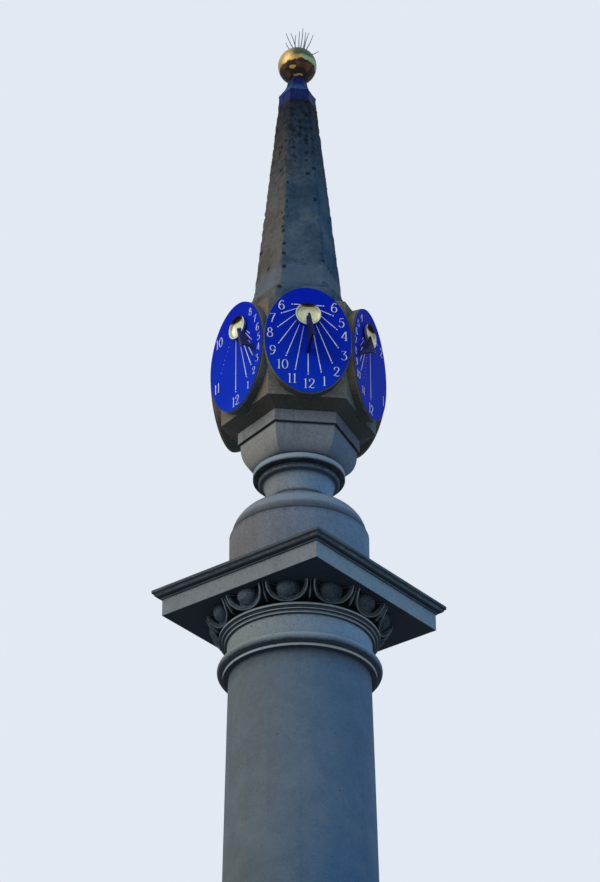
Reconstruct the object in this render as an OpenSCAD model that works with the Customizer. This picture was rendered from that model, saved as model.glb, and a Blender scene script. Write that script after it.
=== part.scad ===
// Sundial pillar: a round stone column on a stepped base. Its moulded capital carries a drum,
// a neck and a six-sided dial block with six oval dials, and a small obelisk stands on top.
// Millimetres, +Z up, origin at the centre of the base on the ground.
// The front dial and one corner of the capital's square slab face -Y.

/* [Steps] */
// Radius of the top step
step_r = 1180; // [1000:10:1400]
// Depth of each tread
step_tread = 360; // [250:10:450]
// Height of each step
step_h = 230; // [150:5:260]
// Rounding radius on the upper edge of each step
step_nose = 25; // [5:1:60]

/* [Pedestal] */
// Side of the square die
die_w = 1040; // [1000:10:1150]
// Height of the die
die_h = 1550; // [900:10:2000]
// Side of the block that the pedestal stands on
socle_w = 1330; // [1280:10:1400]
// Height of that block
socle_h = 380; // [200:10:500]
// Height of the moulding at the foot of the die
foot_h = 150; // [100:5:250]
// Height of the pedestal's cornice
cornice_h = 260; // [180:5:320]
// How far the cornice stands out from the die
cornice_out = 150; // [90:5:180]
// Height of the block between the cornice and the column
blocking_h = 235; // [100:5:300]

/* [Column] */
// Radius of the shaft at its foot
shaft_foot_r = 367; // [350:1:390]
// Radius of the shaft under the neck ring
shaft_top_r = 309; // [295:1:330]
// Height of the shaft
shaft_h = 5172; // [4400:1:5600]
// Height of the square plinth
plinth_h = 124; // [80:1:180]
// Height of the round base above the plinth
base_h = 247; // [200:1:300]
// How far the lower roll of the base stands out from the shaft
base_out = 144; // [110:1:148]
// Margin of the square plinth round the lower roll
plinth_margin = 5; // [0:1:20]

/* [Capital] */
// Height of the flat fillet under the neck ring
ring_fillet_h = 12; // [8:1:30]
// Thickness of the neck ring, a half-round roll
ring_h = 48; // [36:1:60]
// How far the neck ring stands out from the neck
ring_out = 45; // [32:1:60]
// Radius of the plain neck between the ring and the annulets
necking_r = 313; // [300:1:330]
// Height of that neck
necking_h = 98; // [60:1:160]
// Height of the three annulets together
annulet_h = 39; // [24:1:60]
// How far each annulet stands out from the one below
annulet_out = 12; // [6:1:16]
// Height of the carved echinus
echinus_h = 84; // [80:1:100]
// How far the top of the echinus stands out from its foot
echinus_out = 70; // [60:1:78]
// Slope of the carved face, from upright, in degrees
echinus_slope = 43; // [38:1:48]
// Radius of the eggs
egg_r = 37; // [32:1:38]
// How far the eggs' centres stand back from the middle of the slope
egg_back = 16; // [8:1:18]
// How far they stand above its middle
egg_up = 4; // [0:1:4]
// Number of eggs round the echinus
egg_count = 12; // [10:1:12]
// Radius of the scooped hollow round each egg
hollow_r = 87; // [78:1:90]
// How far the hollow's centre lies up the slope from the egg's centre
hollow_up = 40; // [30:1:44]
// Depth of the hollow behind the egg's centre
hollow_depth = 24; // [18:1:28]
// Thickness of the husk, the lip round each hollow
husk_t = 7; // [5:1:10]
// Depth of the ground between the husks
husk_proud = 16; // [8:1:20]
// Width of the dart's stem
dart_w = 12; // [8:1:14]
// Half of the side of the capital's square slab
abacus_half = 424; // [405:1:460]
// Height of the slab's flat edge
abacus_edge_h = 78; // [50:1:110]
// Height of the crown moulding on the slab
abacus_crown_h = 42; // [30:1:60]
// How far the crown moulding stands out from the flat edge
abacus_crown_out = 34; // [20:1:50]

/* [Drum and neck] */
// Radius of the drum on the capital
drum_r = 308; // [280:1:340]
// Height of the drum's straight wall
drum_h = 290; // [200:1:360]
// Set-back of the shoulder from the drum's wall
drum_set_back = 8; // [3:1:16]
// Radius of the rounded shoulder
shoulder_r = 140; // [90:1:150]
// Height of the fillet at the neck's foot
neck_fillet_h = 21; // [12:1:40]
// Radius of the neck at its thinnest
neck_r = 143; // [125:1:148]
// Height of the hollow neck
neck_h = 112; // [80:1:160]
// Radius of the roll's outer face
neck_roll_r = 182; // [172:1:192]
// Thickness of the roll over the neck
neck_roll_h = 32; // [20:1:36]
// Radius of the collar
collar_r = 205; // [195:1:225]
// Thickness of the collar
collar_h = 28; // [16:1:40]

/* [Bowl and slab] */
// Width of the bowl across its flats at the top
bowl_flats = 454; // [420:1:466]
// Width of the bowl across its flats at the foot
bowl_foot_flats = 342; // [300:1:360]
// Height of the bowl
bowl_h = 140; // [100:1:180]
// Width of the slab across its flats
slab_flats = 474; // [468:1:500]
// Thickness of the slab
slab_h = 58; // [40:1:80]

/* [Dial block] */
// Width of the block across its flats
block_flats = 605; // [590:1:640]
// Height of the block's upright faces
block_h = 508; // [480:1:540]
// Height of the slope from the slab out to the block's faces
soffit_h = 36; // [20:1:60]
// Width of the oval boss on each face
boss_w = 392; // [340:1:393]
// Height of the oval boss
boss_h = 552; // [480:1:560]
// How far the boss stands out from the face
boss_out = 39; // [38:1:50]
// Margin of bare stone round each dial
dial_margin = 2; // [1:1:12]
// Thickness of the dial plate
dial_t = 8; // [5:1:14]
// How far the dials' centres stand above the middle of the block
dial_up = 9; // [0:1:12]
// Distance from the dial's centre to the point that the hour lines spring from
style_up = 174; // [160:1:190]

/* [Gnomons] */
// Latitude that the dials are set out for, in degrees
latitude = 51.5; // [45:0.5:58]
// Thickness of the gnomon plate
gnomon_t = 9; // [5:1:12]
// Length of the sloping edge, measured along the dial from the hour lines' meeting point
style_run = 308; // [290:1:325]
// Distance from the same point to the far end of the gnomon's foot
foot_run = 247; // [230:1:256]
// Distance from the same point to where the plate starts, inside the dish
start_run = 66; // [60:1:80]
// Length of each of the two lugs that hold the plate
lug_l = 34; // [20:1:44]
// Height of the open gap between the plate and the dial
lug_h = 14; // [6:1:18]
// Distance from the hour lines' meeting point to the centre of the gilded dish
dish_run = 50; // [44:1:60]
// Diameter of the gilded dish
dish_d = 114; // [90:1:120]
// Depth of the gilded dish
dish_h = 20; // [12:1:26]
// Thickness of the dish's metal
dish_t = 4; // [3:1:6]
// Width of the slot that the gnomon passes through
dish_slot = 15; // [14:1:24]

/* [Spire] */
// Width of the plinth under the spire across its flats
spire_plinth_flats = 460; // [420:1:500]
// Height of that plinth
spire_plinth_h = 115; // [60:1:140]
// Height of the hollow foot of the spire
flare_h = 150; // [100:1:200]
// Width of the spire across its flats at its foot
spire_foot_flats = 343; // [320:1:360]
// Width of the spire across its flats at its top
spire_top_flats = 160; // [140:1:180]
// Height of the spire above its hollow foot
spire_h = 1010; // [800:10:1200]

/* [Cap and ball] */
// Width of the lead cap across its flats
cap_flats = 147; // [130:1:160]
// Height of the cap's upright skirt
cap_skirt_h = 62; // [40:1:80]
// Height of the cap's sloping shoulder
cap_slope_h = 56; // [30:1:80]
// Radius of the cap's neck
cap_neck_r = 43; // [34:1:50]
// Height of the cap's neck
cap_neck_h = 44; // [30:1:60]
// Radius of the gilded ball
ball_r = 92; // [80:1:110]
// Width of the strip that carries the bird spikes over the ball
strip_w = 14; // [10:1:24]
// Half of the angle that the strip spans over the ball, in degrees
strip_reach = 34; // [26:1:50]
// Length of the longest bird spike
spike_l = 108; // [70:1:120]
// Radius of a bird spike
spike_r = 1.5; // [1:0.1:2.5]

/* [Hidden] */
$fn = 96;

stone = "#8d8f88";
stone_dark = "#77756c";
lead = "#3c4048";
gold = "#c9962f";
enamel = "#0b2b9c";

// Levels of the joints between the stones, from the ground up
steps_top = 3 * step_h;
socle_top = steps_top + socle_h;
foot_top = socle_top + foot_h;
die_top = foot_top + die_h;
cornice_top = die_top + cornice_h;
blocking_top = cornice_top + blocking_h;
plinth_top = blocking_top + plinth_h;
base_top = plinth_top + base_h;
shaft_top = base_top + shaft_h;
ring_foot = shaft_top + ring_fillet_h;
ring_top = ring_foot + ring_h;
annulet_foot = ring_top + necking_h;
echinus_foot = annulet_foot + annulet_h;
abacus_foot = echinus_foot + echinus_h;
abacus_top = abacus_foot + abacus_edge_h + abacus_crown_h;
shoulder_foot = abacus_top + drum_h;
neck_foot = shoulder_foot + shoulder_r + neck_fillet_h;
neck_top = neck_foot + neck_h + neck_roll_h;
bowl_foot = neck_top + collar_h;
slab_foot = bowl_foot + bowl_h;
soffit_foot = slab_foot + slab_h;
block_foot = soffit_foot + soffit_h;
block_top = block_foot + block_h;
dial_z = block_foot + block_h / 2 + dial_up;
spire_foot = block_top + spire_plinth_h + flare_h;
spire_top = spire_foot + spire_h;
cap_top = spire_top + cap_skirt_h + cap_slope_h + cap_neck_h;
ball_z = cap_top + ball_r - 8;

neck_ring_r = necking_r;
echinus_r = neck_ring_r + 2 * annulet_out + 2;
egg_ring_r = echinus_r + echinus_out / 2 - 3;
plinth_w = 2 * (shaft_foot_r + base_out + plinth_margin);
dial_w = boss_w - 2 * dial_margin;
dial_h = boss_h - 2 * dial_margin;
dial_face = block_flats / 2 + boss_out + dial_t;

// Points of an arc about [cx, cy], from angle a0 to angle a1
function arc(cx, cy, r, a0, a1, n = 10) =
    [for (i = [0:n]) let (a = a0 + (a1 - a0) * i / n) [cx + r * cos(a), cy + r * sin(a)]];

// Points of a quarter of an ellipse about [cx, cy]
function quarter(cx, cy, rx, ry, a0, a1, n = 10) =
    [for (i = [0:n]) let (a = a0 + (a1 - a0) * i / n) [cx + rx * cos(a), cy + ry * sin(a)]];

// A right-hand outline, foot to top, closed by its own mirror image
function both_sides(p) =
    concat(p, [for (i = [len(p) - 1:-1:0]) [-p[i][0], p[i][1]]]);

// Radius of the shaft at a share of its height: it swells below and narrows faster above
function shaft_r(share) = shaft_foot_r - (shaft_foot_r - shaft_top_r) * pow(share, 2);

// Turned solid from a right-hand outline that starts and ends on the axis
module turned(points) {
    rotate_extrude()
        polygon(concat([[0, points[0][1]]], points, [[0, points[len(points) - 1][1]]]));
}

// Straight bar with the outline's section, long enough to cross the whole piece
module bar(points, length) {
    rotate([90, 0, 0])
        linear_extrude(height = length, center = true)
            polygon(both_sides(points));
}

// Square piece with mitred mouldings: two crossing bars
module squared(points, length) {
    intersection() {
        bar(points, length);
        rotate(90)
            bar(points, length);
    }
}

// Six-sided piece with mitred mouldings: three crossing bars
module six_sided(points, length) {
    intersection() {
        rotate(30)
            bar(points, length);
        rotate(90)
            bar(points, length);
        rotate(150)
            bar(points, length);
    }
}

// One tier of the steps, with a rounded nosing
module step(index) {
    r = step_r + (2 - index) * step_tread;
    foot = index * step_h;
    color(stone_dark)
        turned(concat(
            [[r, foot]],
            arc(r - step_nose, foot + step_h - step_nose, step_nose, 0, 90, 6)
        ));
}

module step_lower() step(0);
module step_middle() step(1);
module step_upper() step(2);

// Square block from one level up, with a corner to the front like the capital's slab
module square_block(width, foot, height) {
    rotate(45)
        translate([-width / 2, -width / 2, foot])
            cube([width, width, height]);
}

module pedestal_socle() {
    color(stone_dark)
        square_block(socle_w, steps_top, socle_h);
}

// Roll, fillet and hollow that lead from the socle in to the die
module pedestal_foot() {
    half = die_w / 2;
    out = (socle_w - die_w) / 2 - 25;
    roll = foot_h * 0.22;
    hollow = foot_h - 2 * roll - 24;
    color(stone)
        rotate(45)
            squared(concat(
                arc(half + out - roll, socle_top + roll, roll, -90, 90),
                [[half + hollow + 10, socle_top + 2 * roll],
                 [half + hollow + 10, socle_top + 2 * roll + 12]],
                arc(half + hollow, socle_top + 2 * roll + 12 + hollow, hollow, 270, 180),
                [[half, foot_top]]
            ), 2 * socle_w);
}

module pedestal_die() {
    color(stone)
        square_block(die_w, foot_top, die_h);
}

// Hollow and rounded bed moulding, projecting drip band and sloping top
module pedestal_cornice() {
    half = die_w / 2;
    bed = cornice_h * 0.36;
    band = cornice_h * 0.30;
    color(stone)
        rotate(45)
            squared(concat(
                [[half, die_top], [half, die_top + 14]],
                quarter(half + cornice_out * 0.55, die_top + 14, cornice_out * 0.55, bed, 180, 90),
                [[half + cornice_out * 0.62, die_top + 14 + bed],
                 [half + cornice_out * 0.88, die_top + 14 + bed],
                 [half + cornice_out * 0.88, die_top + 14 + bed + band],
                 [half + cornice_out, die_top + 20 + bed + band],
                 [half + cornice_out, die_top + 44 + bed + band],
                 [half, cornice_top]]
            ), 2 * socle_w);
}

module pedestal_blocking() {
    color(stone)
        square_block(die_w, cornice_top, blocking_h);
}

module column_plinth() {
    color(stone)
        square_block(plinth_w, blocking_top, plinth_h);
}

// Two rolls with a hollow between them, then a small sweep up into the shaft
module column_base() {
    r = shaft_foot_r;
    lower = base_h * 0.19;
    upper = base_h * 0.13;
    hollow = base_h * 0.20;
    hollow_foot = plinth_top + 2 * lower + 14;
    upper_foot = hollow_foot + hollow + 12;
    color(stone)
        turned(concat(
            arc(r + base_out - lower, plinth_top + lower, lower, -90, 90),
            [[r + base_out * 0.62, plinth_top + 2 * lower], [r + base_out * 0.62, hollow_foot]],
            quarter(r + base_out * 0.62, hollow_foot + hollow, base_out * 0.28, hollow, 270, 180),
            [[r + base_out * 0.44, hollow_foot + hollow], [r + base_out * 0.44, upper_foot]],
            arc(r + base_out * 0.5 - upper * 0.4, upper_foot + upper, upper, -90, 90),
            [[r + 22, upper_foot + 2 * upper], [r + 22, upper_foot + 2 * upper + 14]],
            [[r, base_top]]
        ));
}

// One drum of the shaft: its outline follows the swelling of the whole column
module shaft_drum(index, count) {
    bands = 5;
    color(stone)
        turned([for (i = [0:bands])
            let (share = (index + i / bands) / count)
            [shaft_r(share), base_top + shaft_h * share]]);
}

module shaft_lower() shaft_drum(0, 4);
module shaft_mid_lower() shaft_drum(1, 4);
module shaft_mid_upper() shaft_drum(2, 4);
module shaft_upper() shaft_drum(3, 4);

// Neck ring on its fillet, plain neck and three stepped annulets
module capital_neck() {
    r = neck_ring_r;
    roll = ring_h / 2;
    land = annulet_h / 3;
    color(stone)
        turned(concat(
            [[r, shaft_top], [r + ring_out * 0.45, shaft_top], [r + ring_out * 0.45, ring_foot]],
            arc(r + ring_out - roll, ring_foot + roll, roll, -90, 90, 12),
            [[r + 2, ring_top], [r + 2, annulet_foot]],
            [for (i = [0:2]) each [
                [r + 2 + (i + 1) * annulet_out, annulet_foot + i * land + 3],
                [r + 2 + (i + 1) * annulet_out, annulet_foot + (i + 1) * land]]]
        ));
}

// The echinus before carving, or its ground, sunk by the given depth
module echinus_blank(sunk) {
    r = echinus_r - sunk;
    turned([
        [r, echinus_foot],
        [r + echinus_out * 0.34, echinus_foot + echinus_h * 0.17],
        [r + echinus_out * 0.71, echinus_foot + echinus_h * 0.50],
        [r + echinus_out * 0.96, echinus_foot + echinus_h * 0.88],
        [r + echinus_out + sunk * 0.6, abacus_foot]
    ]);
}

// Repeats its children round the echinus: z points out of the carved face, y up its slope
module round_echinus(first) {
    step = 360 / egg_count;
    for (i = [0:egg_count - 1]) {
        rotate(first + i * step)
            translate([0, -egg_ring_r, echinus_foot + echinus_h / 2])
                rotate([90 + echinus_slope, 0, 0])
                    children();
    }
}

// Round hole or disc about the centre of an egg's hollow
module hollow(radius, behind) {
    translate([0, hollow_up, -behind])
        cylinder(r = radius, h = behind + 3 * egg_r);
}

// Dart with a narrow stem and a leaf-shaped point, cut through from front to back
module dart() {
    w = dart_w / 2;
    translate([0, 0, -60])
        linear_extrude(height = 160)
            polygon([
                [-w, 70], [-w, 0], [-2 * w, -22], [0, -egg_r], [2 * w, -22], [w, 0], [w, 70]
            ]);
}

// Eggs in scooped hollows, with a thin lip round each hollow and a dart between the lips.
// A dart faces the front corner of the slab, and the first egg stands half a step round.
module echinus() {
    half_step = 180 / egg_count;
    color(stone) {
        difference() {
            union() {
                echinus_blank(husk_proud);
                intersection() {
                    echinus_blank(0);
                    round_echinus(half_step)
                        hollow(hollow_r + husk_t, 40);
                }
                intersection() {
                    echinus_blank(0);
                    round_echinus(0)
                        dart();
                }
            }
            round_echinus(half_step)
                hollow(hollow_r, hollow_depth);
        }
        round_echinus(half_step)
            rotate([-90 - echinus_slope, 0, 0])
                translate([0, egg_back, egg_up])
                    sphere(r = egg_r);
    }
}

// Square slab, set with its corners to the front, back and sides
module abacus() {
    half = abacus_half;
    edge_top = abacus_foot + abacus_edge_h;
    round = abacus_crown_h - 20;
    color(stone)
        rotate(45)
            squared(concat(
                [[half, abacus_foot], [half, edge_top], [half + 6, edge_top], [half + 6, edge_top + 6]],
                quarter(half + 6, edge_top + 6 + round, abacus_crown_out - 12, round, -90, 0),
                [[half + abacus_crown_out, edge_top + 6 + round], [half + abacus_crown_out, abacus_top]]
            ), 4 * half);
}

// Drum with a rounded shoulder, and the fillet that the neck stands on
module drum() {
    r = drum_r - drum_set_back;
    color(stone)
        turned(concat(
            [[drum_r, abacus_top], [drum_r, shoulder_foot], [r, shoulder_foot]],
            arc(r - shoulder_r, shoulder_foot, shoulder_r, 0, 90, 14),
            [[neck_r + 9, shoulder_foot + shoulder_r], [neck_r + 9, neck_foot]]
        ));
}

// Hollow neck that spreads upward to a roll and a flat collar
module neck() {
    roll = neck_roll_h / 2;
    color(stone)
        turned(concat(
            [[neck_r, neck_foot]],
            [for (p = quarter(neck_roll_r - roll, neck_foot + 10, neck_roll_r - roll - neck_r, neck_h - 10, 180, 90)) p],
            arc(neck_roll_r - roll, neck_foot + neck_h + roll, roll, -90, 90),
            [[collar_r, neck_top], [collar_r, bowl_foot]]
        ));
}

// Six-sided bowl, curving out to the slab
module bowl() {
    foot = bowl_foot_flats / 2;
    top = bowl_flats / 2;
    color(stone)
        six_sided(concat(
            [[foot - 6, bowl_foot]],
            quarter(foot, slab_foot - 16, top - foot, bowl_h - 28, -90, 0, 12),
            [[top, slab_foot]]
        ), 3 * slab_flats);
}

module slab() {
    color(stone)
        rotate(30)
            translate([0, 0, slab_foot])
                rotate(-30)
                    cylinder(r = slab_flats / sqrt(3), h = slab_h, $fn = 6);
}

// Oval, upright in XZ, extruded outward along -Y from the plane y = -from
module oval(width, height, from, out) {
    translate([0, -from, 0])
        rotate([90, 0, 0])
            linear_extrude(height = out)
                scale([width / height, 1])
                    circle(d = height);
}

// Places a dial's pieces on a face: turn 0 is the front, and each 60 degrees is the next face
module on_face(turn) {
    rotate(turn)
        translate([0, 0, dial_z])
            children();
}

module dial_block() {
    face = block_flats / 2;
    color(stone)
        union() {
            six_sided([
                [slab_flats / 2 - 4, soffit_foot], [face, block_foot], [face, block_top]
            ], 3 * block_flats);
            for (turn = [0:60:300]) {
                on_face(turn)
                    oval(boss_w, boss_h, face - 20, boss_out + 20);
            }
        }
}

module dial_plate(turn) {
    color(enamel)
        on_face(turn)
            oval(dial_w, dial_h, dial_face - dial_t, dial_t);
}

// Plate gnomon. The style's edge points to the celestial pole, so on a face that is turned
// from the meridian its foot line leans by tan(lean) = sin(turn) / tan(latitude), and the
// style rises from the face by sin(rise) = cos(latitude) * cos(turn).
function lean(turn) = atan(sin(turn) / tan(latitude));
function rise(turn) = asin(cos(latitude) * abs(cos(turn)));

// Side view of a gnomon on the south side: x is out from the dial, y is up its face
module gnomon_plate(slope) {
    reach = style_run * slope;
    lug_2 = foot_run - lug_l;
    lug_1 = start_run + dish_run / 2 + lug_l;
    polygon(concat(
        [[lug_h, -start_run], [max(start_run * slope, lug_h + 4), -start_run]],
        [[reach, -style_run]],
        [for (t = [0.2:0.2:1])
            let (a = pow(1 - t, 2), b = 2 * t * (1 - t), c = t * t)
            [a * reach + b * reach * 0.78 + c * reach * 0.45,
             -(a * style_run + b * (foot_run + 2) + c * foot_run)]],
        [[0, -foot_run], [0, -lug_2], [lug_h, -lug_2],
         [lug_h, -lug_1 - lug_l], [0, -lug_1 - lug_l], [0, -lug_1], [lug_h, -lug_1]]
    ));
}

// Stands a dial's metalwork on its face: z points out of the dial and y up the foot line,
// away from the hours. On the north side of the block everything is upside down.
module on_dial(turn) {
    below = cos(turn) > 0;
    on_face(turn)
        translate([0, -dial_face, below ? style_up : -style_up])
            rotate([0, lean(turn), 0])
                rotate([90, 0, 0])
                    rotate(below ? 0 : 180)
                        children();
}

module gnomon(turn) {
    color(lead)
        on_dial(turn)
            rotate([0, -90, 0])
                linear_extrude(height = gnomon_t, center = true)
                    gnomon_plate(tan(rise(turn)));
}

// Shallow gilded dish below the meeting point of the hour lines, slotted for the gnomon
module dish(turn) {
    r = dish_d / 2;
    color(gold)
        on_dial(turn)
            translate([0, -dish_run, 0])
                difference() {
                    turned([
                        [r * 0.62, 0], [r * 0.88, dish_h * 0.32], [r, dish_h],
                        [r - dish_t, dish_h], [r * 0.80, dish_h * 0.48],
                        [r * 0.56, dish_h * 0.26], [r * 0.2, dish_t]
                    ]);
                    translate([-dish_slot / 2, -dish_d, -1])
                        cube([dish_slot, dish_d, dish_h + 2]);
                }
}

module dial_front() dial_plate(0);
module dial_front_right() dial_plate(60);
module dial_rear_right() dial_plate(120);
module dial_rear() dial_plate(180);
module dial_rear_left() dial_plate(240);
module dial_front_left() dial_plate(300);

module gnomon_front() gnomon(0);
module gnomon_front_right() gnomon(60);
module gnomon_rear_right() gnomon(120);
module gnomon_rear() gnomon(180);
module gnomon_rear_left() gnomon(240);
module gnomon_front_left() gnomon(300);

module dish_front() dish(0);
module dish_front_right() dish(60);
module dish_rear_right() dish(120);
module dish_rear() dish(180);
module dish_rear_left() dish(240);
module dish_front_left() dish(300);

// Six-sided obelisk on a plinth, with a hollow sweep between them
module spire() {
    foot = spire_foot_flats / 2;
    plinth = spire_plinth_flats / 2;
    color(stone_dark)
        six_sided(concat(
            [[plinth, block_top], [plinth, block_top + spire_plinth_h]],
            quarter(plinth - 4, spire_foot, plinth - 4 - foot, flare_h - 6, 270, 180, 12),
            [[spire_top_flats / 2, spire_top]]
        ), 3 * spire_plinth_flats);
}

// Lead cap: a six-sided skirt and shoulder, and a round neck under the ball
module lead_cap() {
    half = cap_flats / 2;
    skirt_top = spire_top + cap_skirt_h;
    slope_top = skirt_top + cap_slope_h;
    color(lead) {
        six_sided([
            [half + 2, spire_top], [half, skirt_top], [cap_neck_r + 4, slope_top]
        ], 4 * cap_flats);
        translate([0, 0, slope_top - 10])
            cylinder(r = cap_neck_r, h = cap_neck_h + 10);
    }
}

module ball() {
    color(gold)
        difference() {
            translate([0, 0, ball_z])
                sphere(r = ball_r);
            translate([0, 0, cap_top - ball_r])
                cylinder(r = ball_r, h = ball_r);
        }
}

// Spring wires that keep birds off, fanned out of a strip that is bent over the ball
module bird_spikes() {
    count = 9;
    gap = 2 * (strip_reach - 4) / (count - 1);
    color(lead)
        translate([0, 0, ball_z]) {
            rotate([90, 0, 0])
                rotate_extrude(angle = 2 * strip_reach, start = 90 - strip_reach)
                    translate([ball_r, -strip_w / 2])
                        square([3, strip_w]);
            for (i = [0:count - 1]) {
                rotate([0, 4 - strip_reach + i * gap, 0])
                    translate([0, 0, ball_r])
                        rotate([i % 2 == 0 ? 14 : -14, 0, 0])
                            cylinder(r = spike_r, h = spike_l * (i % 3 == 0 ? 0.8 : 1), $fn = 8);
            }
        }
}

step_lower();
step_middle();
step_upper();
pedestal_socle();
pedestal_foot();
pedestal_die();
pedestal_cornice();
pedestal_blocking();
column_plinth();
column_base();
shaft_lower();
shaft_mid_lower();
shaft_mid_upper();
shaft_upper();
capital_neck();
echinus();
abacus();
drum();
neck();
bowl();
slab();
dial_block();
dial_front();
dial_front_right();
dial_rear_right();
dial_rear();
dial_rear_left();
dial_front_left();
gnomon_front();
gnomon_front_right();
gnomon_rear_right();
gnomon_rear();
gnomon_rear_left();
gnomon_front_left();
dish_front();
dish_front_right();
dish_rear_right();
dish_rear();
dish_rear_left();
dish_front_left();
spire();
lead_cap();
ball();
bird_spikes();
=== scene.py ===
import random
from math import atan2, cos, exp, hypot, pi, radians, sin, sqrt, tan
import bmesh
import bpy
from mathutils import Matrix, Vector, noise


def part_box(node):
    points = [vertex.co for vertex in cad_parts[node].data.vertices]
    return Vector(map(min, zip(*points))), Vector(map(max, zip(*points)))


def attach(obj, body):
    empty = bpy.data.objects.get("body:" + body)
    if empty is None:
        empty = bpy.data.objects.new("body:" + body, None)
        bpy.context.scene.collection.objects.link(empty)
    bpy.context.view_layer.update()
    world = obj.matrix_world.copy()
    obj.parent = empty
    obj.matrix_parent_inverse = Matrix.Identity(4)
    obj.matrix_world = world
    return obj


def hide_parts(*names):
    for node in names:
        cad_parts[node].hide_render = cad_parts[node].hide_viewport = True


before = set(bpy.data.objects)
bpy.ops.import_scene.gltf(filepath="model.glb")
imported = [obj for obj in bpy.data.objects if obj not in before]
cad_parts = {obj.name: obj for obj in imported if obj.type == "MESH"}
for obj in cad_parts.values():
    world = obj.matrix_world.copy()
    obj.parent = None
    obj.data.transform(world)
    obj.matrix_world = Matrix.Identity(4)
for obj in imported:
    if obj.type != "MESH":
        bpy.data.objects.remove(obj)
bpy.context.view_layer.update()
print("sundial pillar: frame loaded,", len(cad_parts), "solids")

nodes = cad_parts


# colours are written as they look on screen, 0 to 255
def tone(red, green, blue):
    linear = []
    for part in (red, green, blue):
        share = part / 255
        linear.append(share / 12.92 if share <= 0.04045 else ((share + 0.055) / 1.055) ** 2.4)
    return (*linear, 1.0)


# one value in a shader, so that its maths can be written as plain sums
class Wire:
    def __init__(self, shader, socket):
        self.shader = shader
        self.socket = socket

    def sums(self, operation, first, second=0.0, clamp=False):
        return self.shader.node("ShaderNodeMath", dict(operation=operation, use_clamp=clamp),
                                {"Value": first, "Value_001": second})

    def __add__(self, other):
        return self.sums("ADD", self, other)

    def __radd__(self, other):
        return self.sums("ADD", other, self)

    def __sub__(self, other):
        return self.sums("SUBTRACT", self, other)

    def __rsub__(self, other):
        return self.sums("SUBTRACT", other, self)

    def __mul__(self, other):
        return self.sums("MULTIPLY", self, other)

    def __rmul__(self, other):
        return self.sums("MULTIPLY", other, self)

    def __truediv__(self, other):
        return self.sums("DIVIDE", self, other)

    def __rtruediv__(self, other):
        return self.sums("DIVIDE", other, self)

    def __pow__(self, other):
        return self.sums("POWER", self, other)

    def __rpow__(self, other):
        return self.sums("POWER", other, self)

    def __neg__(self):
        return self.sums("MULTIPLY", self, -1.0)

    def __abs__(self):
        return self.sums("ABSOLUTE", self)

    def clip(self):
        return self.sums("ADD", self, 0.0, clamp=True)

    def most(self, other):
        return self.sums("MAXIMUM", self, other)

    # 0 below low, 1 above high, an eased step between
    def step(self, low, high):
        return self.shader.node("ShaderNodeMapRange", dict(interpolation_type="SMOOTHSTEP"),
                                {"Value": self, "From Min": low, "From Max": high})

    # 1 at a level, falling to 0 at the given reach either side
    def near(self, level, reach):
        return (1 - abs(self - level) / reach).clip()


# the shader of a material or of the sky, under construction
class Shader:
    def __init__(self, owner):
        self.owner = owner
        owner.use_nodes = True
        self.tree = owner.node_tree
        self.tree.nodes.clear()

    def node(self, kind, settings=None, values=None, output=None):
        made = self.tree.nodes.new(kind)
        for key, value in (settings or {}).items():
            setattr(made, key, value)
        for key, value in (values or {}).items():
            socket = self.find(made.inputs, key)
            if isinstance(value, Wire):
                self.tree.links.new(value.socket, socket)
            else:
                socket.default_value = value
        return Wire(self, self.find(made.outputs, output)) if made.outputs else made

    # a socket by its identifier or name, or else the first one in use
    def find(self, sockets, key):
        return next(s for s in sockets if s.identifier == key or (s.enabled and key in (None, s.name)))

    def axes(self, vector):
        split = self.node("ShaderNodeSeparateXYZ", {}, {"Vector": vector})
        return [Wire(self, out) for out in split.socket.node.outputs]


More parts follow.
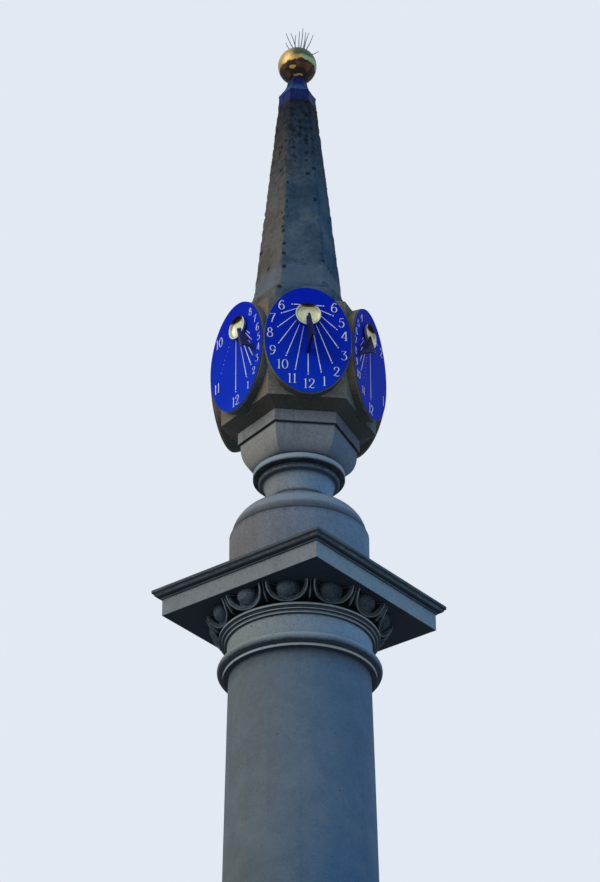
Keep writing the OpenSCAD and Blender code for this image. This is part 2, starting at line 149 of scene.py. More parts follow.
# a material, with the values that most finishes start from
class Finish(Shader):
    def __init__(self, look):
        super().__init__(bpy.data.materials.new(look["name"]))
        self.place = self.node("ShaderNodeTexCoord", output="Object")
        self.facing = self.node("ShaderNodeNewGeometry", output="Normal")
        self.x, self.y, self.z = self.axes(self.place)
        self.nx, self.ny, self.nz = self.axes(self.facing)

    # the place with each axis scaled, then shifted
    def stretch(self, x, y, z, shift=(0, 0, 0)):
        grown = self.node("ShaderNodeVectorMath", dict(operation="MULTIPLY"),
                          {"Vector": self.place, "Vector_001": (x, y, z)})
        return self.node("ShaderNodeVectorMath", dict(operation="ADD"),
                         {"Vector": grown, "Vector_001": shift})

    def cloud(self, scale, detail=3.0, rough=0.55, vector=None, warp=0.0):
        return self.node("ShaderNodeTexNoise", {},
                         {"Vector": vector or self.place, "Scale": scale, "Detail": detail,
                          "Roughness": rough, "Distortion": warp}, "Fac")

    # clouds drawn out downwards, with their scale across and down
    def streaks(self, across, down, shift=(0, 0, 0), detail=3.0):
        return self.cloud(1.0, detail, 0.6, self.stretch(across, across, down, shift))

    # distance from the nearest cell point, and one random value per cell
    def cells(self, scale, vector):
        gap = self.node("ShaderNodeTexVoronoi", {}, {"Vector": vector, "Scale": scale}, "Distance")
        tint = Wire(self, gap.socket.node.outputs["Color"])
        return gap, self.node("ShaderNodeSeparateColor", {}, {"Color": tint}, "Red")

    # the normal with its arrises rounded off, and how far it turns there
    def arrises(self, radius, full):
        rounded = self.node("ShaderNodeBevel", dict(samples=4), {"Radius": radius})
        turned = self.node("ShaderNodeVectorMath", dict(operation="DOT_PRODUCT"),
                           {"Vector": rounded, "Vector_001": self.facing}, "Value")
        return rounded, (1 - turned).step(0.004, full)

    def blend(self, share, under, over):
        return self.node("ShaderNodeMix", dict(data_type="RGBA", clamp_factor=True),
                         {"Factor_Float": share, "A_Color": under, "B_Color": over}, "Result_Color")

    def bumped(self, height, depth, strength, over=None):
        values = {"Height": height, "Distance": depth, "Strength": strength}
        if over is not None:
            values["Normal"] = over
        return self.node("ShaderNodeBump", {}, values, "Normal")

    def close(self, **values):
        names = dict(base="Base Color", rough="Roughness", metal="Metallic", normal="Normal",
                     shine="Specular IOR Level")
        shader = self.node("ShaderNodeBsdfPrincipled", {}, {names[key]: values[key] for key in values})
        self.node("ShaderNodeOutputMaterial", {}, {"Surface": shader})
        return self.owner


# pieces and their meshes

# gives CAD nodes a material
def dress(names, material):
    for name in names:
        mesh = nodes[name].data
        mesh.materials.clear()
        mesh.materials.append(material)


def addObject(name, data):
    added = bpy.data.objects.new(name, data)
    bpy.context.scene.collection.objects.link(added)
    return added


# adds a piece of the scene's own, in place of the CAD nodes that it replaces
def link(name, mesh, slot, material, *replaced):
    piece = addObject(name, mesh)
    mesh.materials.clear()
    mesh.materials.append(material)
    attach(piece, "root")
    if replaced:
        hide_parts(*replaced)


def meshFrom(shape, name):
    mesh = bpy.data.meshes.new(name)
    shape.to_mesh(mesh)
    shape.free()
    return mesh


# faces from each loop of points to the next
def skin(shape, loops):
    for one, two in zip(loops, loops[1:]):
        for i in range(len(one)):
            j = (i + 1) % len(one)
            shape.faces.new((one[i], one[j], two[j], two[i]))


# a skin that is closed at both ends
def tube(shape, loops):
    skin(shape, loops)
    shape.faces.new(loops[-1])
    shape.faces.new(loops[0][::-1])


# camera

cameraSetup = dict(
    lens=149.02,        # mm on a 36 mm long side
    distance=14.0,      # m from the pillar's axis
    eyeHeight=1.6,
    side=-6.98,         # degrees round from the front, towards -X
    tiltUp=31.0,
    roll=-0.25,
    yaw=-0.021,
    clip=(0.1, 400.0),
)


def placeCamera(setup):
    around, tilt, roll, yaw = (radians(setup[key]) for key in ("side", "tiltUp", "roll", "yaw"))
    away = setup["distance"]
    spot = Vector((away * sin(around), -away * cos(around), setup["eyeHeight"]))
    toAxis = Vector((-spot.x, -spot.y, 0)).normalized()
    level = Matrix.Rotation(yaw, 3, "Z") @ toAxis
    ahead = level * cos(tilt) + Vector((0, 0, sin(tilt)))
    data = bpy.data.cameras.new("streetCamera")
    data.lens = setup["lens"]
    data.clip_start, data.clip_end = setup["clip"]
    camera = addObject("streetCamera", data)
    aimed = ahead.to_track_quat("-Z", "Y").to_matrix() @ Matrix.Rotation(roll, 3, "Z")
    camera.matrix_world = Matrix.Translation(spot) @ aimed.to_4x4()
    bpy.context.scene.camera = camera


placeCamera(cameraSetup)
bpy.context.scene.view_settings.view_transform = "Standard"
print("camera placed")


# lights, sky and floor

skySetup = dict(light=(0.84, 0.93, 1.0, 1.0), strength=0.62, backdrop=tone(226, 233, 242))

# source is the side that the light comes from, and softness its width in degrees
sunSetup = dict(
    keyLight=dict(colour=(1.0, 0.95, 0.88), strength=1.9, source=(-0.86, -0.42, 0.42), softness=38),
    fillLight=dict(colour=(0.74, 0.88, 1.0), strength=0.35, source=(0.75, -0.6, 0.3), softness=70),
)


def makeSky(setup):
    world = bpy.data.worlds.new("paleSky")
    bpy.context.scene.world = world
    sky = Shader(world)
    lit = sky.node("ShaderNodeBackground", {}, {"Color": setup["light"], "Strength": setup["strength"]})
    shown = sky.node("ShaderNodeBackground", {}, {"Color": setup["backdrop"]})
    # the plain backdrop shows to the camera, in metal and through glass
    camera, glossy, clear = (sky.node("ShaderNodeLightPath", output=ray)
                             for ray in ("Is Camera Ray", "Is Glossy Ray", "Is Transmission Ray"))
    mixed = sky.node("ShaderNodeMixShader", {},
                     {"Fac": camera.most(glossy).most(clear), "Shader": lit, "Shader_001": shown})
    sky.node("ShaderNodeOutputWorld", {}, {"Surface": mixed})


def addSun(name, sun):
    data = bpy.data.lights.new(name, "SUN")
    data.color = sun["colour"]
    data.energy = sun["strength"]
    data.angle = radians(sun["softness"])
    addObject(name, data).rotation_euler = Vector(sun["source"]).to_track_quat("Z", "Y").to_euler()


floorSetup = dict(name="floorPaint", radius=60.0, sides=96, drop=0.001,
                  colour=tone(214, 217, 220), cloudy=tone(202, 205, 209))


def makeFloor(setup):
    shape = bmesh.new()
    bmesh.ops.create_circle(shape, cap_ends=True, segments=setup["sides"], radius=setup["radius"],
                            matrix=Matrix.Translation((0, 0, -setup["drop"])))
    mesh = meshFrom(shape, "paleFloor")
    paint = Finish(setup)
    floorTone = paint.blend(paint.cloud(0.6, 2.0) * 0.12, setup["colour"], setup["cloudy"])
    mesh.materials.append(paint.close(base=floorTone, rough=0.9))
    addObject("paleFloor", mesh)


makeSky(skySetup)
for sunName, sun in sunSetup.items():
    addSun(sunName, sun)
makeFloor(floorSetup)
print("lights and floor ready")


# stone

# what every stone has, unless its own dictionary says otherwise
plainStone = dict(
    dark=tone(26, 31, 38), pale=tone(112, 122, 130), bandTone=tone(126, 138, 146),
    sidePull=0.95,      # how much the painted lit side and shaded side differ in tone
    sideShift=0.0, blotch=0.15, streak=0.30, grain=0.16, speckle=0.20,
    pits=0.03,          # share of cells that hold a pit
    pitSize=0.16, pitScale=62.0,
    underside=0.62,     # painted shade on faces that look down
    underFrom=(0.15, 0.85),
    crevice=0.75,       # painted shade in corners
    cornerReach=0.07, edgePale=0.35, arris=0.006,
    soot=[],            # level, reach and strength of dark bands, mostly painted shade under ledges, in corners and in open joints
    bands=[],           # the same for pale bands of painted highlight
    joints=[],          # levels of the joints between stones
    jointHalf=0.004, bump=0.0016,
)


def stoneFinish(look):
    made = Finish(look)
    z, nz = made.z, made.nz
    dark, pale = look["dark"], look["pale"]
    shifted = made.stretch(1, 1, 1, look["seed"])
    broad = made.cloud(1.1, 2.0, 0.5, shifted)
    patch = made.cloud(7.0, 4.0, 0.6, shifted, 0.4)
    fine = made.cloud(46.0, 4.0, 0.65, shifted)
    grain = made.cloud(150.0, 3.0, 0.75)
    runs = made.streaks(15, 0.9, look["seed"])
    # painted light: faces turned towards -x, where the key light comes from, take the warm lit tone and
    # faces turned towards +x the cool shaded tone
    side = 0.5 + look["sideShift"] + made.nx * (0.5 * look["sidePull"]) + (broad - 0.5) * 0.3
    colour = made.blend(side.step(0.08, 0.92), look["warm"], look["cool"])
    for share, over in (
        (patch.step(0.42, 0.72) * look["blotch"], pale),
        ((0.55 - patch).step(0.02, 0.3) * look["blotch"], dark),
        (runs.step(0.52, 0.78) * look["streak"] * (1 - abs(nz)), dark),
        (fine.step(0.35, 0.75) * look["grain"], dark),
        (grain.step(0.50, 0.72) * look["speckle"], pale),
        ((0.5 - grain).step(0.0, 0.22) * look["speckle"], dark),
    ):
        colour = made.blend(share, colour, over)
    # painted shade: darker in corners, on faces that look down and in the dark bands at their levels
    openness = made.node("ShaderNodeAmbientOcclusion", dict(samples=6),
                         {"Distance": look["cornerReach"]}, "AO")
    corner = (1 - openness).step(0.30, 0.95) * look["crevice"]
    shadeMask = corner.most((-nz).step(*look["underFrom"]) * look["underside"])
    for level, reach, strength in look["soot"]:
        ragged = z + (patch - 0.5) * (reach * 0.5) + (fine - 0.5) * (reach * 0.5)
        shadeMask = shadeMask.most(ragged.near(level, reach) ** 1.5 * strength)
    colour = made.blend(shadeMask.clip(), colour, dark)
    # painted highlights: pale bands at their levels, left off the faces that look down
    for level, reach, strength in look["bands"]:
        uneven = z + (fine - 0.5) * (reach * 0.6)
        band = uneven.near(level, reach).step(0.0, 0.5) * strength * (1 - (-nz).step(0.5, 0.9))
        colour = made.blend(band.clip(), colour, look["bandTone"])
    # arrises are paler, partly wear and partly painted highlight, and so is what stands proud in a carving
    rounded, bend = made.arrises(look["arris"], 0.16)
    rubbedAndLit = bend * look["edgePale"] * patch.step(0.3, 0.55) * (1 - corner * 0.7)
    if "carved" in look:
        # painted shade in the depths of a carving, and painted highlight on what stands proud, more of it
        # higher up
        depth = made.node("ShaderNodeAttribute", dict(attribute_name="carved"), output="Fac")
        colour = made.blend(depth.step(0.25, 0.85) * look["carved"], colour, dark)
        proud = (1 - depth.step(0.0, 0.16)) * look["proudPale"] * (1 - corner)
        rubbedAndLit = rubbedAndLit.most(proud * (0.45 + z.step(*look["proudFrom"]) * 0.55))
    colour = made.blend(rubbedAndLit, colour, pale)
    if "smuts" in look:
        low, high, strength = look["smuts"]
        smut = (patch * 0.55 + fine * 0.45).step(0.50, 0.58) * z.step(low, high) * strength
        colour = made.blend(smut, colour, dark)
    # pits and black specks
    hollow, pick = made.cells(look["pitScale"], shifted)
    hollow = hollow + (fine - 0.5) * 0.6
    size, share = look["pitSize"], look["pits"]
    if "pitWhere" in look:
        share = look["pitWhere"](made, look, patch) * share
    pit = (1 - hollow.step(size * 0.6, size * 1.5)) * pick.step(1 - share, 1.02 - share)
    colour = made.blend(pit * 0.85, colour, dark)
    height = fine * 0.35 + grain * 0.35 + patch * 0.25 - pit * 1.6
    # joints between the stones
    lines = [z.near(level, look["jointHalf"]) for level in look["joints"]]
    if lines:
        cut = lines[0]
        for line in lines[1:]:
            cut = cut.most(line)
        colour = made.blend(cut * 0.7, colour, dark)
        height = height - cut * 1.5
    return made.close(base=colour, rough=(0.80 + fine * 0.15).clip(), shine=0.12,
                      normal=made.bumped(height, look["bump"], 0.8, rounded))


shaftStone = dict(
    plainStone, name="shaftStone", warm=tone(79, 85, 87), cool=tone(47, 87, 126), sideShift=0.07,
    # painted shade under the fillet at the shaft's top, and a pale band of painted highlight below it
    soot=[(8.812, 0.090, 0.85)], bands=[(8.45, 0.80, 0.12)], joints=[4.95, 6.25, 7.55],
    seed=(0.0, 0.0, 0.0),
)
dress(["shaft_lower", "shaft_mid_lower", "shaft_mid_upper", "shaft_upper"], stoneFinish(shaftStone))

# what the stones of the capital and the head share
headStone = dict(
    plainStone, sidePull=0.8, streak=0.12, speckle=0.45, pits=0.05, pitScale=75.0, crevice=0.80,
    cornerReach=0.06,
)

capitalStone = dict(
    headStone, name="capitalStone", warm=tone(120, 126, 125), cool=tone(99, 139, 179), pits=0.08,
    underside=0.92, underFrom=(0.30, 0.72), edgePale=0.6,
    # painted shade under the roll and among the annulets; painted highlights on the fillet, the roll and the
    # annulets
    soot=[(8.827, 0.028, 1.0), (8.988, 0.032, 1.0)],
    bands=[(8.8145, 0.0095, 0.95), (8.864, 0.012, 0.40), (8.969, 0.0045, 0.95), (8.982, 0.0045, 0.90),
           (8.997, 0.006, 0.60)],
    bandTone=tone(138, 150, 154), seed=(3.1, 0.4, 0.0),
)
dress(["capital_neck"], stoneFinish(capitalStone))

carvedStone = dict(
    headStone, name="carvedStone", warm=tone(70, 80, 91), cool=tone(23, 36, 50),
    dark=tone(7, 10, 15), pale=tone(116, 128, 132), pits=0.03, underside=0.25, crevice=1.0,
    # painted shadow of the abacus along the top of the eggs
    cornerReach=0.10, edgePale=0.7, arris=0.005, soot=[(9.092, 0.030, 0.95)],
    carved=1.0,         # painted shade in the depths of the carving
    # painted highlight on what stands proud, stronger from these levels upwards
    proudPale=0.70, proudFrom=(9.030, 9.072), seed=(5.7, 1.3, 0.0),
)

abacusStone = dict(
    headStone, name="abacusStone", warm=tone(112, 115, 116), cool=tone(100, 130, 156),
    dark=tone(17, 26, 35), sidePull=0.9, underside=0.97, crevice=0.6, cornerReach=0.05,
    # painted shade on the crown moulding, with thin dark lines at its edges
    edgePale=0.3, soot=[(9.169, 0.005, 1.0), (9.192, 0.045, 0.92), (9.209, 0.009, 1.0)],
    seed=(1.9, 2.2, 0.0),
)
dress(["abacus"], stoneFinish(abacusStone))

drumStone = dict(
    headStone, name="drumStone", warm=tone(106, 102, 103), cool=tone(83, 119, 156), pits=0.03,
    underside=0.6, edgePale=0.25,
    # painted shade at the foot and about the shoulder, and a painted highlight on the shoulder
    soot=[(9.515, 0.045, 0.60), (9.215, 0.012, 0.6), (9.618, 0.018, 0.8), (9.655, 0.022, 0.85)],
    bands=[(9.567, 0.030, 0.35)], bandTone=tone(126, 142, 156), joints=[9.499, 9.503, 9.507],
    seed=(0.2, 6.1, 0.0),
)
dress(["drum"], stoneFinish(drumStone))

neckStone = dict(
    drumStone, name="neckStone", warm=tone(117, 120, 122), cool=tone(84, 132, 170),
    pale=tone(132, 144, 152), underside=0.85, crevice=0.95,
    # painted shade at the foot and under the bowl, and a painted highlight near the top
    soot=[(9.792, 0.042, 0.95), (9.804, 0.012, 1.0), (9.680, 0.016, 0.9)],
    bands=[(9.821, 0.012, 0.70)], joints=[], seed=(2.6, 4.1, 0.0),
)
dress(["neck"], stoneFinish(neckStone))

bowlStone = dict(
    headStone, name="bowlStone", warm=tone(127, 125, 118), cool=tone(72, 96, 122), sidePull=1.0,
    streak=0.35, pits=0.03, underside=0.1, crevice=0.35, edgePale=0.5,
    # painted shade under the slab and near the foot
    soot=[(9.970, 0.010, 1.0), (9.836, 0.014, 0.5)], seed=(7.7, 0.9, 0.0),
)
dress(["bowl"], stoneFinish(bowlStone))

slabStone = dict(
    bowlStone, name="slabStone", warm=tone(119, 118, 117), cool=tone(68, 83, 102), underside=0.95,
    # painted shadow in the open joint under the slab
    edgePale=0.6, soot=[(9.972, 0.004, 1.0)], seed=(4.4, 3.9, 0.0),
)
dress(["slab"], stoneFinish(slabStone))

blockStone = dict(
    headStone, name="blockStone", warm=tone(108, 95, 76), cool=tone(64, 84, 96),
    dark=tone(23, 29, 30), pale=tone(130, 142, 144), underside=0.75, crevice=0.75, cornerReach=0.09,
    edgePale=0.8, soot=[(10.034, 0.02, 0.7)], seed=(8.3, 5.2, 0.0),
)
dress(["dial_block"], stoneFinish(blockStone))

pedestalStone = dict(
    plainStone, name="pedestalStone", warm=tone(124, 123, 118), cool=tone(70, 92, 118),
    sidePull=0.8, blotch=0.30, streak=0.45, underside=0.7, edgePale=0.45, arris=0.010,
    soot=[(2.78, 0.10, 0.5), (3.27, 0.012, 0.7), (3.03, 0.02, 0.5), (1.08, 0.03, 0.5)],
    joints=[1.737, 2.254], seed=(6.2, 7.5, 0.0),
)
dress(["pedestal_foot", "pedestal_die", "pedestal_cornice", "pedestal_blocking", "column_plinth",
       "column_base"], stoneFinish(pedestalStone))

stepStone = dict(
    pedestalStone, name="stepStone", warm=tone(112, 110, 104), cool=tone(76, 92, 108),
    dark=tone(38, 40, 40), pits=0.10, edgePale=0.6, arris=0.014,
    soot=[(0.02, 0.05, 0.7), (0.235, 0.03, 0.5), (0.465, 0.03, 0.5), (0.695, 0.03, 0.6)], joints=[],
    bump=0.003, seed=(9.9, 1.7, 0.0),
)
dress(["step_lower", "step_middle", "step_upper", "pedestal_socle"], stoneFinish(stepStone))
print("stone dressed")


# the ring of eggs and darts

carving = dict(
    units=12,
    columns=92,         # in each unit
    rows=72,
    foot=9.005,
    top=9.0885,
    # the uncarved face, as shares of its height and reach
    profile=[(0.0, 0.0), (0.17, 0.34), (0.50, 0.71), (0.88, 0.96), (1.0, 1.0)],
    footRadius=0.339,
    reach=0.070,
    core=0.30,
    slope=43.0,
    eggWide=0.053,
    eggTall=0.050,
    eggRise=0.041,      # height of an egg over the floor of its hollow
    eggLevel=0.001,     # its centre up the slope from the middle
    # painted shade on the eggs, lighter than in the hollows
    eggShade=0.22,
    hollowRadius=0.084,
    hollowLevel=0.038,
    hollowDepth=0.042,
    hollowEase=0.030,   # width of the slope from its rim to its floor
    rimWide=0.008,      # width over which the painted shade deepens
    lip=0.013,          # width of the husk
    ground=0.022,       # depth of the ground between husks and dart
    # level and half width of the dart
    dart=[(0.060, 0.0045), (0.012, 0.0050), (-0.010, 0.0115), (-0.030, 0.0080), (-0.050, 0.0)],
    worn=0.0016,
)


# a value read off a table, held at its ends
def along(table, key):
    for (k0, v0), (k1, v1) in zip(table, table[1:]):
        if min(k0, k1) <= key <= max(k0, k1):
            return v0 + (v1 - v0) * (key - k0) / (k1 - k0)
    return min(table[0], table[-1], key=lambda row: abs(key - row[0]))[1]


# depth of the carving below the uncarved face, at across metres from an egg's middle line and
# at rise metres up the slope, and how much painted shade it takes, from 0 to 1
def carvedDepth(shape, across, half, rise):
    reach = hypot(across, rise - shape["hollowLevel"]) - shape["hollowRadius"]
    floor, ground = shape["hollowDepth"], shape["ground"]
    if reach < 0:
        depth = floor * min(1.0, (-reach / shape["hollowEase"]) ** 0.55)
        egg = (across / shape["eggWide"]) ** 2 + ((rise - shape["eggLevel"]) / shape["eggTall"]) ** 2
        if egg < 1:
            return min(depth, floor - shape["eggRise"] * sqrt(1 - egg) ** 0.9), shape["eggShade"]
        return depth, min(1.0, -reach / shape["rimWide"])
    lip = 1 - ((reach - shape["lip"] / 2) / (shape["lip"] / 2)) ** 2
    depth = ground
    if lip > 0:
        depth = min(depth, ground * (1 - lip ** 0.4))
    wide = along(shape["dart"], rise)
    offset = half - abs(across)
    if offset < wide:
        depth = min(depth, ground * (offset / wide) ** 1.4)
    return depth, depth / ground


def carveEchinus(shape):
    lean = radians(shape["slope"])
    foot, top = shape["foot"], shape["top"]
    face = []
    for row in range(shape["rows"] + 1):
        share = row / shape["rows"]
        radius = shape["footRadius"] + shape["reach"] * along(shape["profile"], share)
        face.append((radius, foot + (top - foot) * share))
    middle = face[shape["rows"] // 2]
    around = shape["units"] * shape["columns"]
    unit = pi / shape["units"]     # half the turn that an egg and a dart take
    mesh = bmesh.new()
    loops = []
    depths = []
    # the face and a plain core inside it
    for radius, level, carved in [(shape["core"], foot, 0), *((*spot, 1) for spot in face),
                                  (shape["core"], top, 0)]:
        loop = []
        for i in range(around):
            turn = 2 * pi * i / around
            r, z, hollowShade = radius, level, 0.0
            if carved:
                fold = (turn + pi / 2) % (2 * unit) - unit
                rise = (level - middle[1]) * cos(lean) + (radius - middle[0]) * sin(lean)
                depth, hollowShade = carvedDepth(shape, fold * radius, unit * radius, rise)
                spot = Vector((radius * cos(turn), radius * sin(turn), level))
                depth += (noise.noise(spot * 45) + noise.noise(spot * 130) * 0.6 + 0.7) * shape["worn"]
                r = radius - depth * cos(lean)
                z = min(top, level + depth * sin(lean))
            depths.append(hollowShade)
            loop.append(mesh.verts.new((r * cos(turn), r * sin(turn), z)))
        loops.append(loop)
    skin(mesh, loops + loops[:1])
    made = meshFrom(mesh, "echinusCarved")
    # the painted shade of the hollows is kept in the carved attribute
    made.attributes.new("carved", "FLOAT", "POINT").data.foreach_set("value", depths)
    made.shade_smooth()
    return made


link("echinusCarved", carveEchinus(carving), "pale_stone", stoneFinish(carvedStone), "echinus")
print("echinus carved")


# the spire, weathered more than the rest

# spots gather on the six arrises, in the top third and over the hollow at the foot
def spirePits(made, look, patch):
    sixth = pi / 6
    turn = made.y.sums("ARCTAN2", made.y, made.x)
    arris = (1 - turn.sums("PINGPONG", turn, sixth) / sixth).step(*look["pitArris"])
    high = made.z.step(*look["pitHigh"])
    foot = made.z.near(*look["pitFoot"])
    return (arris * 0.55 + high * 0.75 + foot * 0.8 + patch.step(0.58, 0.75) * 0.30).clip()


spireStone = dict(
    plainStone, name="spireStone", warm=tone(82, 78, 71), cool=tone(17, 64, 96),
    dark=tone(6, 14, 26), pale=tone(96, 106, 112), sidePull=1.2, sideShift=0.16, blotch=0.45,
    grain=0.25, pits=0.75, pitSize=0.33, pitScale=34.0, pitWhere=spirePits, pitArris=(0.66, 0.95),
    pitHigh=(11.30, 11.65), pitFoot=(10.865, 0.04), underside=0.4, crevice=0.6, edgePale=0.15,
    soot=[(11.88, 0.80, 1.0)], bands=[(10.795, 0.075, 0.28)], bandTone=tone(98, 114, 132),
    smuts=(11.25, 11.60, 0.6),      # levels between which they set in, and their strength
    bump=0.003, seed=(2.2, 8.8, 0.0),
)

spireShape = dict(
    voxel=0.0058,
    chip=0.0032,        # deepest loss along an arris
    chipReach=0.011,
    wave=0.0009,
    dents=120,
    dentSize=(0.005, 0.011),
    flatEnd=0.9,        # faces that look this far up or down stay as they are
    band=0.03,          # height of the bands that dents are sorted into
    seed=41,
)


# a copy of a CAD node's mesh in small even faces
def remeshed(node, voxel):
    mesh = nodes[node].data.copy()
    shape = bmesh.new()
    shape.from_mesh(mesh)
    bmesh.ops.remove_doubles(shape, verts=shape.verts, dist=0.00002)
    shape.to_mesh(mesh)
    shape.free()
    mesh.validate()
    helper = addObject("helper", mesh)
    modifier = helper.modifiers.new("voxels", "REMESH")
    modifier.mode = "VOXEL"
    modifier.voxel_size = voxel
    graph = bpy.context.evaluated_depsgraph_get()
    fresh = bpy.data.meshes.new_from_object(helper.evaluated_get(graph))
    bpy.data.objects.remove(helper)
    return fresh


# the dents, sorted into bands of height so that each point tries only those near it
def rollDents(shape, low, high):
    dice = random.Random(shape["seed"])
    dents = {}
    for _ in range(shape["dents"]):
        z = low + (high - low) * (0.2 + 0.8 * dice.random() ** 0.7)
        arris = dice.randrange(6) * pi / 3 + dice.gauss(0, 0.15)
        dent = (z, arris, dice.uniform(*shape["dentSize"]))
        for row in (-1, 0, 1):
            dents.setdefault(int(z / shape["band"]) + row, []).append(dent)
    return dents


def weatherSpire(shape):
    mesh = remeshed("spire", shape["voxel"])
    low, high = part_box("spire")
    dents = rollDents(shape, low.z, high.z)
    sixth = pi / 6
    count = len(mesh.vertices)
    spots = [0.0] * (3 * count)
    ways = [0.0] * (3 * count)
    mesh.vertices.foreach_get("co", spots)
    mesh.vertices.foreach_get("normal", ways)
    for k in range(0, 3 * count, 3):
        spot = Vector(spots[k:k + 3])
        if abs(ways[k + 2]) > shape["flatEnd"]:
            continue
        turn = atan2(spot.y, spot.x)
        radius = hypot(spot.x, spot.y)
        fold = abs(turn % (2 * sixth) - sixth)      # 0 in the middle of a face
        lateral = radius * (cos(fold) * tan(sixth) - sin(fold))
        edge = exp(-(lateral / shape["chipReach"]) ** 2) * shape["chip"]
        loss = edge * (max(0.0, noise.noise(spot * 17) + 0.1) + max(0.0, noise.noise(spot * 60)) * 0.5)
        loss += (noise.noise(spot * 8) + 0.5) * shape["wave"]
        for z, arris, size in dents.get(int(spot.z / shape["band"]), ()):
            across = (turn - arris + pi) % (2 * pi) - pi
            away = hypot(across * radius, z - spot.z) / size
            if away < 1.5:
                loss += exp(-away * away * 2) * size * 0.5
        for axis in range(3):
            spots[k + axis] -= ways[k + axis] * max(0.0, loss)
    mesh.vertices.foreach_set("co", spots)
    mesh.shade_smooth()
    return mesh


link("spireWeathered", weatherSpire(spireShape), "spire_stone", stoneFinish(spireStone), "spire")
print("spire weathered")


# dials

dialLevel = 10.329      # height of the dials' centres

dialPaint = dict(
    name="dialPaint", deep=tone(1, 26, 158), open=tone(8, 56, 178), worn=tone(30, 60, 146),
    edge=tone(72, 68, 58), level=dialLevel, halfHeight=0.28,
    reach=(0.31, 0.335),    # a plate's face lies further out than its edge
)


def enamelFinish(look):
    made = Finish(look)
    low = (look["level"] - made.z) / look["halfHeight"]
    fade = (low * 0.5 + 0.45 + (made.cloud(5.0, 3.0) - 0.5) * 0.9).clip()
    colour = made.blend(fade * 0.55, look["deep"], look["open"])
    chalk = made.cloud(38.0, 5.0, 0.65, warp=0.5).step(0.56, 0.82)
    colour = made.blend(chalk * 0.30, colour, look["worn"])
    colour = made.blend(made.streaks(60, 3).step(0.6, 0.85) * 0.2, colour, look["worn"])
    face = (made.x * made.nx + made.y * made.ny).step(*look["reach"])
    colour = made.blend(face, look["edge"], colour)
    height = made.cloud(90.0, 2.0) + made.cloud(18.0, 2.0) * 1.5
    rough = 0.55 + chalk * 0.2 + made.cloud(9.0, 3.0) * 0.12
    return made.close(base=colour, rough=rough, normal=made.bumped(height, 0.0005, 0.5), shine=0.03)


dialNames = ["front", "front_right", "rear_right", "rear", "rear_left", "front_left"]
dress(["dial_" + name for name in dialNames], enamelFinish(dialPaint))

gildPaint = dict(
    name="gildPaint", leaf=tone(178, 182, 150), bright=tone(208, 212, 186), worn=tone(118, 100, 58),
    # the worn colour also serves, with the dark brown, for painted shade
    shadeBrown=tone(30, 26, 22), underside=0.30, roughness=0.46,
    lipLevel=(10.488, 10.502),      # painted shade: the dishes are dark above this level
    lipShade=1.0,
)
figureGild = dict(gildPaint, name="figureGild", leaf=tone(184, 184, 178), bright=tone(204, 206, 204),
                  underside=0.0, roughness=0.5, lipShade=0.0)


def gildFinish(look):
    made = Finish(look)
    patch = made.cloud(55.0, 4.0, 0.6)
    colour = made.blend(patch.step(0.3, 0.7), look["leaf"], look["bright"])
    colour = made.blend(made.cloud(120.0, 3.0).step(0.62, 0.8) * 0.35, colour, look["worn"])
    # painted shade: gilding that looks down and the upper part of each dish are darkened, first to the worn
    # colour and then to the dark brown
    shade = (-made.nz + (patch - 0.5) * 0.35).step(-0.02, 0.34) * look["underside"]
    shade = shade.most(made.z.step(*look["lipLevel"]) * look["lipShade"])
    colour = made.blend((shade * 1.6).clip(), colour, look["worn"])
    colour = made.blend((shade * 1.7 - 0.7).clip(), colour, look["shadeBrown"])
    rough = look["roughness"] + patch * 0.15 + shade * 0.3
    return made.close(base=colour, metal=0.75, rough=rough.clip(),
                      normal=made.bumped(made.cloud(140.0, 3.0), 0.0006, 0.6))


dress(["dish_" + name for name in dialNames], gildFinish(gildPaint))
figureLeaf = gildFinish(figureGild)

# centrelines of the figures in a box 100 units tall, with a ball where a stroke starts or ends in one
figureStrokes = {
    "0": [("ring", 30, 50, 23.5, 47.5)],
    "1": [("line", (30, 3), (30, 97)), ("hair", (30, 97), (16, 86)), ("hair", (17, 1.5), (43, 1.5))],
    "2": [("curve", (11, 70), (13, 88), (30, 98), (48, 88), (50, 70), (38, 46), (18, 20), (5, 5)),
          ("bar", (5, 5), (20, 9), (38, 3), (55, 12)), ("ball", 13, 71)],
    "3": [("hair", (10, 86), (14, 95), (50, 95)), ("line", (50, 95), (27, 58)),
          ("curve", (27, 58), (44, 55), (54, 34), (46, 10), (27, 2), (9, 12)), ("ball", 10, 14)],
    "4": [("line", (40, 97), (3, 31)), ("hair", (3, 30), (57, 30)), ("line", (42, 97), (42, 3)),
          ("hair", (30, 1.5), (54, 1.5))],
    "5": [("bar", (17, 94), (34, 92), (50, 98)), ("hair", (17, 95), (14, 56)),
          ("curve", (14, 56), (30, 62), (47, 52), (53, 30), (43, 7), (24, 1), (8, 12)), ("ball", 10, 14)],
    "6": [("curve", (48, 90), (36, 98), (20, 84), (8, 52), (9, 20), (28, 2), (48, 12), (53, 33),
           (43, 53), (27, 57), (12, 42)), ("ball", 47, 88)],
    "7": [("hair", (6, 82), (11, 95), (30, 92), (54, 97)), ("line", (54, 97), (34, 50), (22, 3))],
    "8": [("ring", 30, 76, 16.5, 21.5), ("ring", 30, 27, 22.5, 25.5)],
    "9": [("ring", 30, 70, 21.5, 27), ("curve", (52, 72), (50, 42), (36, 12), (18, 2)), ("ball", 14, 8)],
}

# stroke widths, balls and spans as shares of a figure's height, and how far figures stand proud in m
figurePen = dict(thick=0.088, thin=0.024, ball=0.048, span=0.62, narrowSpan=0.44, cell=0.60, proud=0.0011)


